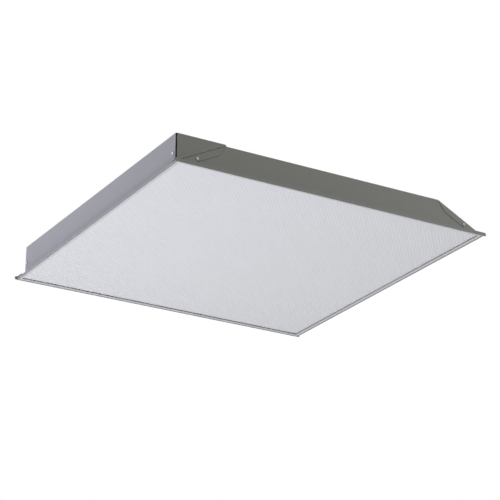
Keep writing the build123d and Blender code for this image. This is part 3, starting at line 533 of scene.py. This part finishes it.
@dataclass
class WiringCompartment:
    """Cover, compartment ends and access plate along the housing's side."""

    painted: tuple[str, ...] = ("compartment_cover", "compartment_end_front", "compartment_end_rear",
                                "access_plate")
    fasteners: tuple[str, ...] = ("cover_screws", "compartment_rivets", "access_pivot_screw",
                                  "access_lock_screw")

    def build(self) -> None:
        """Dresses the compartment's sheet parts, screws and rivets."""
        for node in self.painted:
            finish_node(node, HOUSING_PAINT)
        for node in self.fasteners:
            finish_node(node, ZINC)
        finish_node("ground_screw", GROUND_ZINC)


@dataclass
class PrismLens:
    """Acrylic sheet whose lower face is pressed into square pyramids, on a grid turned 50 degrees."""

    pitch: float = 5.28 * MM
    turn: float = math.radians(50)
    depth: float = 0.9 * MM
    body: str = "lens_door"
    low: Vector = field(default_factory=lambda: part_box("lens_panel")[0])
    high: Vector = field(default_factory=lambda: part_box("lens_panel")[1])

    def prism_face(self) -> bmesh.types.BMesh:
        """Makes the lower face: a turned grid, cut to the sheet and poked into pyramids.

        Returns:
            The open lower face, pointing down.
        """
        shape = bmesh.new()
        width = self.high.x - self.low.x
        length = self.high.y - self.low.y
        cells = math.ceil((width + length) / math.sqrt(2) / self.pitch / 2) * 2 + 2
        bmesh.ops.create_grid(shape, x_segments=cells, y_segments=cells, size=cells * self.pitch / 2)
        bmesh.ops.rotate(shape, verts=shape.verts, matrix=Matrix.Rotation(self.turn, 3, "Z"))
        bmesh.ops.translate(shape, verts=shape.verts, vec=(0, 0, self.low.z))
        bmesh.ops.reverse_faces(shape, faces=shape.faces)
        for corner, outward in ((self.low, Vector((-1, 0, 0))), (self.low, Vector((0, -1, 0))),
                                (self.high, Vector((1, 0, 0))), (self.high, Vector((0, 1, 0)))):
            everything = list(shape.verts) + list(shape.edges) + list(shape.faces)
            bmesh.ops.bisect_plane(shape, geom=everything, plane_co=corner, plane_no=outward,
                                   clear_outer=True)
        bmesh.ops.poke(shape, faces=shape.faces, offset=-self.depth)
        return shape

    def build(self) -> bpy.types.Object:
        """Closes the sheet above the prisms and makes the piece.

        Returns:
            The lens.
        """
        shape = self.prism_face()
        rim = [edge for edge in shape.edges if edge.is_boundary]
        walls = bmesh.ops.extrude_edge_only(shape, edges=rim)["geom"]
        raised = [item for item in walls if isinstance(item, bmesh.types.BMVert)]
        bmesh.ops.translate(shape, verts=raised, vec=(0, 0, self.high.z - self.low.z))
        top = [edge for edge in shape.edges if edge.is_boundary]
        bmesh.ops.contextual_create(shape, geom=top)
        bmesh.ops.recalc_face_normals(shape, faces=shape.faces)
        return finish_piece("prism_lens", shape, [LENS_ACRYLIC], self.body, ("lens_panel",))


@dataclass
class LensDoor:
    """Hinged lens frame with its lens, film, corner keys, hinges and cam latches."""

    rails: tuple[str, ...] = ("frame_rail_front", "frame_rail_rear", "frame_rail_hinge", "frame_rail_latch")
    plated: tuple[str, ...] = ("corner_keys", "hinge_blocks", "hinge_pins")
    latches: tuple[str, ...] = ("latch_front", "latch_rear")
    lens: PrismLens = field(default_factory=PrismLens)

    def build(self) -> None:
        """Dresses the frame and makes the lens."""
        for node in self.rails + self.latches:
            finish_node(node, FRAME_PAINT)
        for node in self.plated:
            finish_node(node, ZINC)
        finish_node("diffuser_film", DIFFUSER_FILM)
        self.lens.build()


@dataclass
class LightEngine:
    """Four light boards under the housing's top, with their packages, plugs and screws."""

    boards: tuple[str, ...] = ("led_board_1", "led_board_2", "led_board_3", "led_board_4")
    package: float = 3.0 * MM
    package_height: float = 0.7 * MM
    window: float = 0.35 * MM
    pitch: float = 20.0 * MM
    count: int = 25
    side_step: float = 4.0 * MM
    along_step: float = -5.0 * MM

    def one_package(self, shape: bmesh.types.BMesh, place: Vector) -> None:
        """Adds one package: a resin block with a shallow gel window in its face.

        Args:
            shape: the bmesh that gathers the packages.
            place: middle of the package's back, on the board.
        """
        matrix = Matrix.Translation(place - Vector((0, 0, self.package_height / 2)))
        made = bmesh.ops.create_cube(shape, size=1.0, matrix=matrix @ Matrix.Diagonal(
            (self.package, self.package, self.package_height, 1.0)))
        faces = list({face for vert in made["verts"] for face in vert.link_faces})
        face = min(faces, key=lambda item: item.calc_center_median().z)
        bmesh.ops.inset_region(shape, faces=[face], thickness=self.window, depth=0.0)
        bmesh.ops.inset_region(shape, faces=[face], thickness=self.window / 2, depth=-self.window / 2)
        face.material_index = 1

    def build(self) -> None:
        """Dresses the boards and makes the packages."""
        for node in self.boards:
            finish_node(node, BOARD)
        finish_node("board_connectors", WHITE_NYLON)
        finish_node("board_screws", ZINC)
        shape = bmesh.new()
        for node in self.boards:
            low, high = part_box(node)
            middle = (low + high) / 2
            for number in range(self.count):
                along = (number - (self.count - 1) / 2) * self.pitch + self.along_step
                self.one_package(shape, Vector((middle.x - self.side_step, along, low.z)))
        finish_piece("light_packages", shape, [PACKAGE_RESIN, PHOSPHOR], "housing",
                     ("led_packages",))


@dataclass
class DriverBay:
    """Driver, terminal block, brackets and leads inside the wiring compartment."""

    plated: tuple[str, ...] = ("driver_screws", "terminal_screw", "bracket_screws")
    strips: tuple[str, ...] = ("driver_brackets", "terminal_bracket")

    def build(self) -> None:
        """Dresses what the wiring compartment holds."""
        finish_node("led_driver", DRIVER_COAT)
        finish_node("terminal_block", WHITE_NYLON)
        finish_node("wire_bushing", BLACK_NYLON)
        finish_node("output_harness", HARNESS_PVC)
        finish_node("input_leads", SUPPLY_PVC)
        for node in self.plated:
            finish_node(node, ZINC)
        for node in self.strips:
            finish_node(node, ZINC_STRIP)


# ------------------------------------------------------------------ studio
@dataclass(frozen=True)
class SoftBox:
    """A square area lamp that points at the light."""

    name: str
    place: tuple[float, float, float]
    size: float
    watts: float
    tint: str

    def build(self) -> None:
        """Adds the lamp, turned towards the middle of the object."""
        lamp = bpy.data.lights.new(self.name, "AREA")
        lamp.shape = "SQUARE"
        lamp.size = self.size
        lamp.energy = self.watts
        lamp.color = linear(self.tint)[:3]
        holder = bpy.data.objects.new(self.name, lamp)
        holder.location = self.place
        holder.rotation_euler = (-Vector(self.place)).to_track_quat("-Z", "Y").to_euler()
        holder.visible_camera = False
        bpy.context.scene.collection.objects.link(holder)


@dataclass
class Studio:
    """Plain pale floor far below the light, a white surround and soft lamps."""

    floor_drop: float = 6.0
    floor_size: float = 80.0
    floor_tone: str = "f2f2f0"
    floor_roughness: float = 0.9
    floor_cells: int = 4
    ambient_tone: str = "e9ebe4"
    ambient: float = 0.25
    lamps: tuple[SoftBox, ...] = (
        SoftBox("side_softbox", (-1.6, 1.5, 0.5), 1.2, 13.5, "dcd9ff"),
        SoftBox("low_softbox", (-0.7, 0.0, -1.8), 1.2, 28.0, "fafaff"),
        SoftBox("end_softbox", (1.3, -1.3, -0.2), 0.8, 5.2, "f2f3e8"),
        SoftBox("top_softbox", (1.2, 1.0, 2.2), 2.0, 50.0, "ffffff"),
    )

    def floor(self) -> None:
        """Makes the floor as a grid with a plain matte finish."""
        shape = bmesh.new()
        bmesh.ops.create_grid(shape, x_segments=self.floor_cells, y_segments=self.floor_cells,
                              size=self.floor_size / 2)
        bmesh.ops.translate(shape, verts=shape.verts, vec=(0, 0, -self.floor_drop))
        mesh = bpy.data.meshes.new("floor")
        shape.to_mesh(mesh)
        shape.free()
        floor = bpy.data.objects.new("floor", mesh)
        paint = StageFloor("matte_floor_paint", self.floor_tone, self.floor_roughness)
        mesh.materials.append(paint.material())
        bpy.context.scene.collection.objects.link(floor)

    def surround(self) -> None:
        """White for camera, glossy and transmission rays, and a soft even light for the rest."""
        world = bpy.data.worlds.new("studio")
        world.use_nodes = True
        tree = world.node_tree
        tree.nodes.clear()
        soft = add_node(tree, "ShaderNodeBackground",
                        {"Color": linear(self.ambient_tone), "Strength": self.ambient})
        white = add_node(tree, "ShaderNodeBackground", {"Color": (1, 1, 1, 1), "Strength": 1.0})
        both = add_node(tree, "ShaderNodeMixShader", links={0: seen_rays(tree), 1: soft.outputs[0],
                                                            2: white.outputs[0]})
        add_node(tree, "ShaderNodeOutputWorld", links={"Surface": both.outputs[0]})
        bpy.context.scene.world = world

    def build(self) -> None:
        """Adds the floor, the surround and the lamps."""
        self.floor()
        self.surround()
        for lamp in self.lamps:
            lamp.build()
        bpy.context.scene.view_settings.view_transform = "Standard"


@dataclass(frozen=True)
class PhotoCamera:
    """Camera at the photograph's viewpoint, low and to one corner, looking up at the light."""

    place: tuple[float, float, float] = (-1.630, -2.808, -1.291)
    heading: float = 59.67
    pitch: float = 21.93
    roll: float = 0.35
    focal_px: float = 1995.0
    frame_px: float = 500.0
    sensor_mm: float = 36.0
    far_end: float = 100.0

    def build(self) -> None:
        """Adds the camera and makes it the scene's own."""
        camera = bpy.data.cameras.new("photo_camera")
        camera.sensor_width = self.sensor_mm
        camera.lens = self.focal_px / self.frame_px * self.sensor_mm
        camera.clip_end = self.far_end
        holder = bpy.data.objects.new("photo_camera", camera)
        holder.matrix_world = (Matrix.Translation(self.place)
                               @ Matrix.Rotation(math.radians(self.heading - 90), 4, "Z")
                               @ Matrix.Rotation(math.radians(90 + self.pitch), 4, "X")
                               @ Matrix.Rotation(math.radians(self.roll), 4, "Z"))
        bpy.context.scene.collection.objects.link(holder)
        bpy.context.scene.camera = holder


def main() -> None:
    """Builds the camera, the studio and each sub-assembly in order."""
    logging.basicConfig(level=logging.INFO, format="%(name)s %(message)s")
    PhotoCamera().build()
    Studio().build()
    for assembly in (Housing(), WiringCompartment(), LensDoor(), LightEngine(), DriverBay()):
        LOG.info("building %s", type(assembly).__name__)
        assembly.build()


if __name__ == "__main__":
    main()
